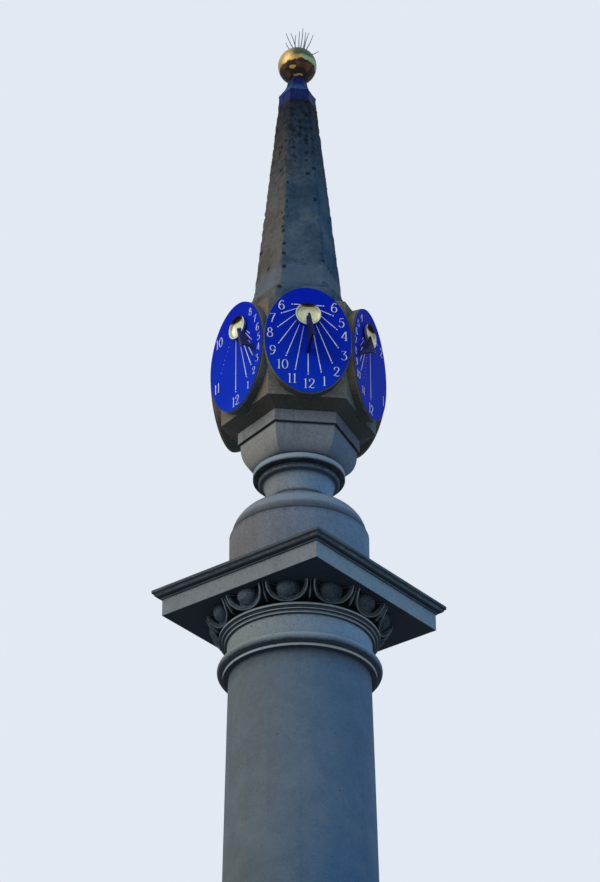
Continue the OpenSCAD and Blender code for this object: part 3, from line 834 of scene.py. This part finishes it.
# a smooth path through points, with count steps from each to the next
def smoothPath(points, count):
    if len(points) < 3:
        a, b = Vector(points[0]), Vector(points[-1])
        return [a.lerp(b, i / count) for i in range(count + 1)]
    ends = [points[0]] + list(points) + [points[-1]]
    path = []
    for k in range(1, len(ends) - 2):
        p0, p1, p2, p3 = (Vector(ends[k + j]) for j in (-1, 0, 1, 2))
        for i in range(count):
            t = i / count
            path.append(0.5 * ((2 * p1) + (p2 - p0) * t + (2 * p0 - 5 * p1 + 4 * p2 - p3) * t * t
                               + (3 * p1 - p0 - 3 * p2 + p3) * t ** 3))
    path.append(Vector(points[-1]))
    return path


def oval(x, y, wide, tall, count):
    turns = [2 * pi * i / count for i in range(count)]
    return [Vector((x + wide * cos(turn), y + tall * sin(turn))) for turn in turns]


# the way that a path runs at each of its points
def pathWays(path, closed):
    ways = []
    for i, point in enumerate(path):
        before = path[i - 1] if closed or i else point
        after = path[(i + 1) % len(path)] if closed or i < len(path) - 1 else point
        ways.append((after - before).normalized())
    return ways


# a band along a path, raised to a height over the dial: widths are half widths
def layBand(shape, path, widths, height, closed=False):
    rows = []
    for point, way, wide in zip(path, pathWays(path, closed), widths):
        across = Vector((-way.y, way.x)) * wide
        a, b = point + across, point - across
        rows.append([shape.verts.new(corner) for corner in ((a.x, a.y, 0), (a.x, a.y, height),
                                                            (b.x, b.y, height), (b.x, b.y, 0))])
    for one, two in zip(rows, rows[1:] + (rows[:1] if closed else [])):
        for k in range(3):
            shape.faces.new((one[k], two[k], two[k + 1], one[k + 1]))
    if not closed:
        shape.faces.new(rows[0])
        shape.faces.new(rows[-1][::-1])


def layDot(shape, centre, radius, height, sides=14):
    rims = [[shape.verts.new((spot.x, spot.y, level)) for spot in oval(*centre, radius, radius, sides)]
            for level in (0, height)]
    shape.faces.new(rims[1])
    skin(shape, rims)


# half widths of a stroke: a line is thick where it runs up and thin where it runs across
def strokeWidths(kind, ways, pen):
    thin, thick = pen["thin"], pen["thick"]
    if kind == "hair":
        return [thin / 2] * len(ways)
    if kind == "bar":
        last = len(ways) - 1
        return [(thin + thick) / 4 * (0.6 + 0.4 * sin(pi * i / last)) for i in range(len(ways))]
    return [(thin + (thick - thin) * abs(way.y) ** 1.6) / 2 for way in ways]


def drawFigure(shape, text, centre, size, pen):
    unit = size / 100
    spans = [pen["narrowSpan" if mark == "1" else "span"] for mark in text]
    start = centre.x - sum(spans) * size / 2
    for mark, span in zip(text, spans):
        origin = Vector((start + (span - pen["cell"]) * size / 2, centre.y - size / 2))
        start += span * size
        for kind, *rest in figureStrokes[mark]:
            if kind == "ball":
                layDot(shape, origin + Vector(rest) * unit, pen["ball"] * size, pen["proud"])
                continue
            closed = kind == "ring"
            path = oval(*rest, 40) if closed else smoothPath(rest, 8)
            half = [wide * size for wide in strokeWidths(kind, pathWays(path, closed), pen)]
            layBand(shape, [origin + spot * unit for spot in path], half, pen["proud"], closed)


dialSetup = dict(
    latitude=51.5,
    level=dialLevel,
    stand=0.3495,       # dial faces from the axis
    meeting=0.182,      # where the hour lines spring from, above the centre
    dishRun=0.058,
    dishRadius=0.0585,
    figureRing=(0.170, 0.234),
    figureClear=0.056,      # from a figure's centre to the end of its hour line
    crowdedClear=0.034,
    uprightClear=0.024,
    figureSize=0.050,
    crowdedSize=0.038,
    crowdedGap=0.054,
    pairPull=0.94,      # figures of two marks stand this share of the way out
    pairFrom=0.03,      # apart from those nearer the middle line
    lineStart=0.0010,   # half width at the dish
    lineEnd=0.0021,
    linePen=0.0009,
    tipGap=0.008,       # from a line's end to the dot beyond it
    tipDot=0.0032,
    wornDots=9,
    wornDot=(0.0016, 0.0007),
)

# where the front dial's figures stand, in metres right of and above its centre
figurePlaces = dict(front={
    6: (-0.118, 0.175), 7: (-0.158, 0.104), 8: (-0.170, 0.026), 9: (-0.158, -0.066), 10: (-0.114, -0.136),
    11: (-0.071, -0.206), 12: (0.004, -0.229), 13: (0.072, -0.212), 14: (0.126, -0.160), 15: (0.160, -0.074),
    16: (0.164, 0.029), 17: (0.150, 0.099), 18: (0.118, 0.176),
})

# lines whose gold has gone or is left only as dots
wornLines = {("front_left", "10"): "gone", ("front_left", "11"): "dots",
             ("front_right", "1"): "gone", ("front_right", "11"): "dots"}

hoursShown = dict(
    front=range(6, 19), front_right=range(4, 15), rear_right=range(4, 11), rear=(4, 5, 6, 7, 17, 18, 19, 20),
    rear_left=range(14, 21), front_left=range(10, 21),
)


# the hour lines of a dial on an upright wall: 1 where its gnomon points up from the wall and -1
# where it points down, the gnomon's way across the dial, and each hour with the way of its line
def hourDirections(turn, hours, setup):
    lat = radians(setup["latitude"])
    pole = Vector((0, cos(lat), sin(lat)))
    noon = Vector((0, -sin(lat), cos(lat)))
    west = Vector((-1, 0, 0))
    out = Vector((sin(turn), -cos(turn), 0))
    right = Vector((cos(turn), sin(turn), 0))
    sign = 1 if out.dot(pole) > 0 else -1

    def onDial(way):
        return Vector((way.dot(right), way.z)).normalized()

    lines = []
    for hour in hours:
        angle = radians(15 * (hour - 12))
        sun = noon * cos(angle) + west * sin(angle)
        lines.append((hour, onDial(sign * (pole * out.dot(sun) - sun * out.dot(pole)))))
    return sign, onDial(sign * pole), lines


# how far from a start within it a ring is met
def reachRing(start, way, ring):
    a = (way.x / ring[0]) ** 2 + (way.y / ring[1]) ** 2
    b = 2 * (start.x * way.x / ring[0] ** 2 + start.y * way.y / ring[1] ** 2)
    c = (start.x / ring[0]) ** 2 + (start.y / ring[1]) ** 2 - 1
    return (-b + sqrt(max(0.0, b * b - 4 * a * c))) / (2 * a)


# each figure as its text, its spot, whether it is crowded and the way of its line
def placeFigures(name, start, lines, setup):
    ring = setup["figureRing"]
    places = []
    for hour, way in lines:
        text = str(hour if hour < 13 else hour - 12)
        spot = start + way * reachRing(start, way, ring)
        if len(text) == 2 and abs(spot.x) > setup["pairFrom"]:
            spot = spot * setup["pairPull"]
        if name in figurePlaces:
            spot = Vector(figurePlaces[name][hour])
        places.append([text, spot, False, way])
    if name not in figurePlaces:
        spreadFigures(places, ring, setup["crowdedGap"])
    return places


# lifts figures at the sides that stand too close over each other
def spreadFigures(places, ring, gap):
    for edge in (1, -1):
        crowd = sorted([p for p in places if p[1].x * edge > ring[0] * 0.35], key=lambda p: p[1].y)
        for under, over in zip(crowd, crowd[1:]):
            if over[1].y < under[1].y + gap:
                over[1].y = under[1].y + gap
                share = max(0.0, 1 - (over[1].y / ring[1]) ** 2)
                over[1].x = edge * ring[0] * sqrt(share)
                over[2] = under[2] = True


# an hour line between two reaches along its way, or the dots that are left of it
def drawLine(shape, start, way, begin, end, worn, setup):
    pen = setup["linePen"]
    if worn == "dots":
        for i in range(setup["wornDots"]):
            reach = begin + (end - begin) * (0.12 + 0.1 * i)
            layDot(shape, start + way * reach, setup["wornDot"][i % 3 == 1], pen, 8)
    elif worn != "gone" and end > begin + setup["tipGap"]:
        shares = [i / 12 for i in range(13)]
        path = [start + way * (begin + (end - begin) * t) for t in shares]
        wide = [setup["lineStart"] + (setup["lineEnd"] - setup["lineStart"]) * t for t in shares]
        layBand(shape, path, wide, pen)
        layDot(shape, start + way * (end + setup["tipGap"]), setup["tipDot"], pen)


def paintDial(name, turn, setup, pen):
    sign, foot, lines = hourDirections(turn, hoursShown[name], setup)
    start = Vector((0, -sign * setup["meeting"]))
    offset = -foot * setup["dishRun"]       # from the dish's middle
    strokes = bmesh.new()
    figures = bmesh.new()
    for text, spot, crowded, way in placeFigures(name, start, lines, setup):
        drawFigure(figures, text, spot, setup["crowdedSize" if crowded else "figureSize"], pen)
        beside = offset.dot(way)
        rim = beside * beside - offset.length_squared + setup["dishRadius"] ** 2
        begin = -beside + sqrt(max(0.0, rim))
        clear = setup["figureClear"]
        if crowded:
            clear = setup["crowdedClear"] + setup["uprightClear"] * way.y ** 2
        end = (spot - start).dot(way) - clear
        drawLine(strokes, start, way, begin, end, wornLines.get((name, text)), setup)
    # dial plane to the block's face
    upright = Matrix(((1, 0, 0), (0, 0, -1), (0, 1, 0))).to_4x4()
    out = Matrix.Translation((0, -setup["stand"], setup["level"]))
    for shape, label in ((strokes, "hourLines_"), (figures, "figures_")):
        shape.transform(Matrix.Rotation(turn, 4, "Z") @ out @ upright)
        bmesh.ops.recalc_face_normals(shape, faces=shape.faces)
        link(label + name, meshFrom(shape, label + name), "gold_leaf", figureLeaf)


for index, name in enumerate(dialNames):
    paintDial(name, radians(60 * index), dialSetup, figurePen)
print("dials painted")


# gnomons

shadedGnomon = dict(name="shadedGnomon", steel=tone(16, 22, 74), dark=tone(6, 8, 24), rubbedAndLit=tone(30, 36, 84),
                   black=tone(6, 8, 16), blackLevel=(10.395, 10.430))
litGnomon = dict(shadedGnomon, name="litGnomon", steel=tone(48, 50, 92), dark=tone(20, 22, 50),
                   rubbedAndLit=tone(112, 120, 148), blackLevel=(10.412, 10.435))


def gnomonFinish(look):
    made = Finish(look)
    patch = made.cloud(30.0, 4.0, 0.6)
    colour = made.blend(patch.step(0.35, 0.7), look["steel"], look["dark"])
    rounded, bend = made.arrises(0.003, 0.2)
    # arrises are paler, partly wear and partly painted highlight
    colour = made.blend(bend * 0.8, colour, look["rubbedAndLit"])
    colour = made.blend(made.streaks(90, 8).step(0.5, 0.8) * 0.4, colour, look["dark"])
    colour = made.blend(made.z.step(*look["blackLevel"]) * 0.9, colour, look["black"])
    return made.close(base=colour, rough=0.55 + patch * 0.2, shine=0.06,
                      normal=made.bumped(patch + made.cloud(200.0) * 0.4, 0.0006, 0.6, rounded))


# painted light: the two seen edge on get a darker, shaded copy of the paint and the other four a paler, lit
# copy
edgeOn = ["front", "rear"]
dress(["gnomon_" + name for name in edgeOn], gnomonFinish(shadedGnomon))
dress(["gnomon_" + name for name in dialNames if name not in edgeOn], gnomonFinish(litGnomon))


# ball, cap and bird spikes

ballPlace = dict(centre=12.095, radius=0.092)

ballGild = dict(
    ballPlace, name="ballGild", leaf=tone(160, 130, 74), bright=tone(184, 160, 108),
    green=tone(122, 142, 112), deepGreen=tone(54, 72, 58), brown=tone(84, 52, 20),
    orange=tone(196, 138, 44), soot=tone(14, 11, 8),
    # spots on the front of the ball, across and up from its centre in radii, with their reach
    orangeSpot=(-0.33, -0.55, 0.17, 0.09), paleSpot=(0.0, -0.865, 0.26, 0.045),
)


def ballFinish(look):
    made = Finish(look)
    across = made.x / look["radius"]
    high = (made.z - look["centre"]) / look["radius"]
    front = (-made.y / look["radius"]).step(0.0, 0.2)
    ragged = made.cloud(30.0, 4.0, 0.6) - 0.5
    patch = made.cloud(14.0, 3.0)

    def spot(place):
        at, up, wide, tall = place
        gap = ((across - at) / wide) ** 2.0 + ((high - up + ragged * 0.35) / tall) ** 2.0
        return (1 - gap.step(0.5, 1.3)) * front

    colour = made.blend(patch.step(0.35, 0.65), look["leaf"], look["bright"])
    colour = made.blend((across + high * 0.7 + ragged * 0.7).step(-0.12, 0.30), colour, look["green"])
    top = (high + ragged * 0.4).step(-0.02, 0.20) * (across + ragged * 0.5).step(-0.52, -0.16)
    colour = made.blend(top * 0.9, colour, look["deepGreen"])
    # painted reflection: the lower part takes brown with black patches, and the front an orange and a pale
    # spot, as the dark street shows in the gold
    edge = high + 0.19 + across * across * 0.24 + ragged * 0.42
    low = 1 - edge.step(-0.03, 0.05)
    colour = made.blend(low, colour, look["brown"])
    deep = (low * (made.cloud(19.0, 4.0) - high * 0.12).step(0.43, 0.60)).clip()
    colour = made.blend(deep * 0.95, colour, look["soot"])
    colour = made.blend(spot(look["orangeSpot"]) * 0.85, colour, look["orange"])
    colour = made.blend(spot(look["paleSpot"]) * 0.8, colour, look["bright"])
    height = made.cloud(30.0, 2.0) + made.cloud(260.0, 2.0) * 0.12
    return made.close(base=colour, metal=1.0 - low * 0.5, rough=0.47 + low * 0.18 + patch * 0.08,
                      normal=made.bumped(height, 0.0016, 0.5))


dress(["ball"], ballFinish(ballGild))

leadPaint = dict(name="leadPaint", lead=tone(8, 26, 86), deep=tone(3, 10, 54), bloom=tone(56, 104, 158))


def leadFinish(look):
    made = Finish(look)
    patch = made.cloud(28.0, 4.0, 0.6, warp=0.6)
    colour = made.blend(patch.step(0.35, 0.65), look["deep"], look["lead"])
    runs = made.streaks(70, 7, detail=4.0).step(0.5, 0.75)
    colour = made.blend(runs * 0.45, colour, look["bloom"])
    rounded, bend = made.arrises(0.005, 0.2)
    colour = made.blend((bend * 0.8 + made.nz.step(0.2, 0.8) * 0.5).clip(), colour, look["bloom"])
    return made.close(base=colour, rough=0.5 + patch * 0.2, shine=0.1,
                      normal=made.bumped(patch + made.cloud(90.0, 3.0) * 0.3, 0.002, 0.7, rounded))


capShape = dict(
    sides=144,
    # height above the spire's top, half width across the flats, how round the plan is, seam size
    rings=[(-0.010, 0.0765, 0.05, 0.0030), (0.000, 0.0768, 0.05, 0.0034), (0.018, 0.0745, 0.04, 0.0034),
           (0.040, 0.0728, 0.04, 0.0034), (0.058, 0.0738, 0.04, 0.0036), (0.064, 0.0722, 0.05, 0.0036),
           (0.070, 0.0680, 0.05, 0.0034), (0.084, 0.0590, 0.06, 0.0032), (0.098, 0.0510, 0.08, 0.0030),
           (0.112, 0.0450, 0.10, 0.0028), (0.120, 0.0425, 0.12, 0.0026), (0.130, 0.0405, 0.14, 0.0024),
           (0.146, 0.0375, 0.18, 0.0022), (0.158, 0.0350, 0.25, 0.0018), (0.164, 0.0330, 0.40, 0.0010),
           (0.168, 0.0260, 0.80, 0.0000)],
    rowsEach=3,         # rows of faces from each ring to the next
    seamReach=0.0035,
    dip=0.006,          # how far the skirt's lower edge hangs between the arrises
    dent=0.0016,
    foot=11.849,
)


def makeCap(shape):
    rings, each, sixth = shape["rings"], shape["rowsEach"], pi / 6
    rows = [[a + (b - a) * k / each for a, b in zip(low, high)]
            for low, high in zip(rings, rings[1:]) for k in range(each)]
    mesh = bmesh.new()
    loops = []
    for row, (height, half, roundness, seam) in enumerate([*rows, rings[-1]]):
        loop = []
        for i in range(shape["sides"]):
            turn = 2 * pi * i / shape["sides"]
            fold = (turn + pi / 2 + sixth) % (2 * sixth) - sixth
            radius = half / cos(fold) * (1 - roundness) + half * 1.05 * roundness
            radius += seam * exp(-((abs(fold) - sixth) * half / shape["seamReach"]) ** 2)
            spot = Vector((radius * cos(turn), radius * sin(turn), height))
            spot.z -= shape["dip"] * cos(fold * 3) * max(0.0, 1 - row / each)
            push = noise.noise(spot * 38 + Vector((3, 1, 7))) * shape["dent"]
            spot += Vector((push * cos(turn), push * sin(turn), shape["foot"]))
            loop.append(mesh.verts.new(spot))
        loops.append(loop)
    tube(mesh, loops)
    made = meshFrom(mesh, "capLead")
    for face in made.polygons:
        face.use_smooth = len(face.vertices) == 4
    return made


link("capLead", makeCap(capShape), "lead", leadFinish(leadPaint), "lead_cap")

wirePaint = dict(name="wirePaint", steel=tone(38, 44, 74), dark=tone(14, 16, 34))

spikeShape = dict(
    ballPlace,
    # where each wire leaves the ball and where it ends: across, forward and up from the ball's centre
    wires=[
        ((-0.016, -0.015), (-0.0565, -0.020, 0.178)), ((-0.007, -0.015), (-0.0325, -0.015, 0.183)),
        ((-0.011, -0.020), (-0.009, -0.020, 0.171)), ((0.012, -0.020), (0.0215, -0.052, 0.190)),
        ((0.008, -0.010), (0.009, -0.028, 0.189)), ((0.024, -0.015), (0.038, -0.024, 0.189)),
        ((0.030, -0.010), (0.0535, -0.022, 0.189)), ((0.036, -0.020), (0.075, -0.020, 0.179)),
        ((-0.036, -0.020), (-0.057, -0.020, 0.1225)), ((0.065, -0.030), (0.0995, -0.040, 0.070)),
    ],
    sunk=0.004,         # how deep its foot sits in the ball
    foot=0.0024,        # radius of a wire where it leaves the ball
    tip=0.0013,
    bend=0.0026,
    steps=6,
    stripHalf=0.010,
    stripReach=38,      # degrees either side of the top
    stripThick=0.0025,
    stripSunk=0.002,
    stripSteps=16,
)


def makeSpikes(shape):
    mesh = bmesh.new()
    centre = Vector((0, 0, shape["centre"]))
    ball = shape["radius"]
    for k, ((across, forward), end) in enumerate(shape["wires"]):
        rise = sqrt(ball * ball - across * across - forward * forward)
        foot = Vector((across, forward, rise - shape["sunk"]))
        tip = Vector(end)
        side = (tip - foot).cross(Vector((0, 1, 0))).normalized()
        other = (tip - foot).normalized().cross(side)
        rings = []
        for step in range(shape["steps"] + 1):
            t = step / shape["steps"]
            spot = centre + foot.lerp(tip, t) + side * sin(pi * t) * shape["bend"] * (-1) ** k
            wide = shape["foot"] + (shape["tip"] - shape["foot"]) * t
            rings.append([mesh.verts.new(spot + (side * cos(a) + other * sin(a)) * wide)
                          for a in (pi * j / 3 for j in range(6))])
        tube(mesh, rings)
    # the strip that holds them, bent over the ball
    reach, half = radians(shape["stripReach"]), shape["stripHalf"]
    low, high = -shape["stripSunk"], shape["stripThick"]
    rows = []
    for i in range(shape["stripSteps"] + 1):
        a = reach * (2 * i / shape["stripSteps"] - 1)
        way = Vector((sin(a), 0, cos(a)))
        rows.append([mesh.verts.new(centre + way * (ball + lift) + Vector((0, y, 0)))
                     for lift, y in ((low, -half), (high, -half), (high, half), (low, half))])
    tube(mesh, rows)
    bmesh.ops.recalc_face_normals(mesh, faces=mesh.faces)
    return meshFrom(mesh, "spikeWires")


def wireFinish(look):
    made = Finish(look)
    patch = made.cloud(160.0, 3.0)
    colour = made.blend(patch, look["steel"], look["dark"])
    return made.close(base=colour, metal=0.6, rough=0.4 + patch * 0.2,
                      normal=made.bumped(patch, 0.0003, 0.5))


link("spikeWires", makeSpikes(spikeShape), "spike_wire", wireFinish(wirePaint), "bird_spikes")
print("ball, cap and spikes finished")
